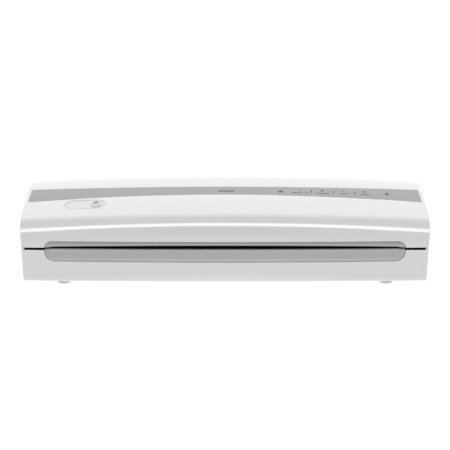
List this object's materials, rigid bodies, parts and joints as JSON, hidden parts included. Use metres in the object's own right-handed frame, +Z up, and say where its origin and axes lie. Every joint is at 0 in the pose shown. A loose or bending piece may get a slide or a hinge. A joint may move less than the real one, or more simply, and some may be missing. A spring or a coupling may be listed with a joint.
{
  "type": "pouch laminator",
  "caption": "Pouch laminator with a domed glossy white cover, grey control strip, front entry slot between grey bezels, heated silicone rollers, jam release slide and rear exit.",
  "frame": {"origin": "centre of the footprint, on the plane the feet stand on", "axes": "+Z up, the entry slot faces -Y, pouches travel towards +Y, +X to the right seen from the front"},
  "size_m": [0.42, 0.1079, 0.0859],
  "materials": {
    "bezel_grey": "satin mid grey",
    "brass_gear": "machined brass",
    "bush_pps": "dark heat resistant polymer",
    "component_black": "black components",
    "contact_brass": "plated contact",
    "foil_amber": "amber polyimide foil",
    "foot_rubber": "light grey rubber",
    "fuse_body": "metal fuse case",
    "gear_nylon": "natural nylon",
    "guide_black": "black heat resistant plastic",
    "heater_alu": "extruded aluminium",
    "inlet_black": "black nylon",
    "key_blue": "navy blue",
    "knob_white": "white with a grey finger dish",
    "lens_clear": "blue-tinted light pipe",
    "motor_can": "plated can",
    "nylon_black": "black acetal",
    "pcb_green": "solder mask green",
    "rocker_black": "black rocker",
    "screw_zinc": "zinc plated screw",
    "shell_white": "glossy moulded ABS, white",
    "silicone_red": "brown-red silicone",
    "spring_steel": "spring steel",
    "steel_bright": "ground steel",
    "strip_grey": "satin mid grey",
    "thermostat_body": "ceramic with metal cap",
    "track_white": "satin white",
    "wire_white": "white wire insulation",
    "zinc_steel": "zinc plated sheet"
  },
  "bodies": {
    "chassis": {"base_case": "shell_white", "board_components": "component_black", "case_screws": "screw_zinc", "control_board": "pcb_green", "control_strip": "strip_grey", "drive_motor": "motor_can", "entry_guide_lower": "guide_black", "entry_guide_upper": "guide_black", "exit_bezel_lower": "bezel_grey", "exit_bezel_upper": "bezel_grey", "exit_guide_lower": "guide_black", "exit_guide_upper": "guide_black", "frame_screws": "screw_zinc", "heat_shield_lower": "zinc_steel", "heater_element_lower": "foil_amber", "heater_shoe_lower": "heater_alu", "idler_clip": "spring_steel", "idler_pin": "steel_bright", "indicator_lenses": "lens_clear", "inlet_contacts": "contact_brass", "lower_bushes": "bush_pps", "lower_shoe_holders": "bush_pps", "lower_throat_bezel": "bezel_grey", "mains_inlet": "inlet_black", "power_board": "pcb_green", "power_components": "component_black", "pressure_springs": "spring_steel", "release_track": "track_white", "rubber_feet": "foot_rubber", "side_frame_left": "zinc_steel", "side_frame_right": "zinc_steel", "switch_housing": "inlet_black", "tact_switches": "component_black", "thermal_fuse": "fuse_body", "tie_rods": "steel_bright", "top_cover": "shell_white", "upper_throat_bezel": "bezel_grey", "wiring": "wire_white"},
    "lower_roller": {"lower_roller_shaft": "steel_bright", "lower_roller_sleeve": "silicone_red", "lower_roller_gear": "gear_nylon", "lower_shaft_clips": "spring_steel"},
    "upper_roller": {"upper_roller_shaft": "steel_bright", "upper_roller_sleeve": "silicone_red", "upper_roller_gear": "gear_nylon", "upper_shaft_clips": "spring_steel"},
    "upper_carriage": {"upper_bearings": "bush_pps", "heater_shoe_upper": "heater_alu", "heater_element_upper": "foil_amber", "heat_shield_upper": "zinc_steel", "upper_shoe_holders": "bush_pps", "thermostat": "thermostat_body"},
    "idler": {"idler_gear": "gear_nylon"},
    "pinion": {"motor_pinion": "brass_gear", "motor_shaft": "steel_bright"},
    "release_bar": {"release_bar": "nylon_black"},
    "release_knob": {"release_knob": "knob_white"},
    "power_key": {"power_key": "key_blue"},
    "mode_key": {"mode_key": "key_blue"},
    "mains_rocker": {"mains_rocker": "rocker_black"}
  },
  "joints": [
    {"name": "lower_roller_spin", "type": "hinge", "parent": "chassis", "child": "lower_roller", "pos_m": [0, -0.014, 0.03565], "axis": [1, 0, 0], "continuous": true},
    {"name": "release_bar_slide", "type": "slide", "parent": "chassis", "child": "release_bar", "axis": [-1, 0, 0], "range_m": [0, 0.02148]},
    {"name": "roller_lift", "type": "slide", "parent": "chassis", "child": "upper_carriage", "axis": [0, 0, 1], "range_m": [0, 0.0018], "deforming": ["pressure_springs"]},
    {"name": "upper_roller_spin", "type": "hinge", "parent": "upper_carriage", "child": "upper_roller", "pos_m": [0, -0.014, 0.05575], "axis": [1, 0, 0], "continuous": true},
    {"name": "idler_spin", "type": "hinge", "parent": "chassis", "child": "idler", "pos_m": [0.179, 0.00795, 0.02582], "axis": [1, 0, 0], "continuous": true},
    {"name": "pinion_spin", "type": "hinge", "parent": "chassis", "child": "pinion", "pos_m": [0.179, 0.03, 0.026], "axis": [1, 0, 0], "continuous": true},
    {"name": "release_knob_slide", "type": "slide", "parent": "chassis", "child": "release_knob", "axis": [-0.9992, 0, -0.0396], "range_m": [0, 0.0215]},
    {"name": "power_key_press", "type": "slide", "parent": "chassis", "child": "power_key", "axis": [0, 0, -1], "range_m": [0, 0.0004]},
    {"name": "mode_key_press", "type": "slide", "parent": "chassis", "child": "mode_key", "axis": [0, 0, -1], "range_m": [0, 0.0004]},
    {"name": "mains_rocker_tilt", "type": "hinge", "parent": "chassis", "child": "mains_rocker", "pos_m": [-0.112, 0.0508, 0.024], "axis": [0, 0, 1], "range_deg": [0, 20]}
  ],
  "couplings": [
    {"joint": "upper_roller_spin", "follows": "lower_roller_spin", "ratio": -1},
    {"joint": "idler_spin", "follows": "lower_roller_spin", "ratio": -0.71429},
    {"joint": "pinion_spin", "follows": "lower_roller_spin", "ratio": 1.25},
    {"joint": "roller_lift", "follows": "release_bar_slide", "ratio": 0.083787},
    {"joint": "release_knob_slide", "follows": "release_bar_slide", "ratio": 1.0008}
  ]
}
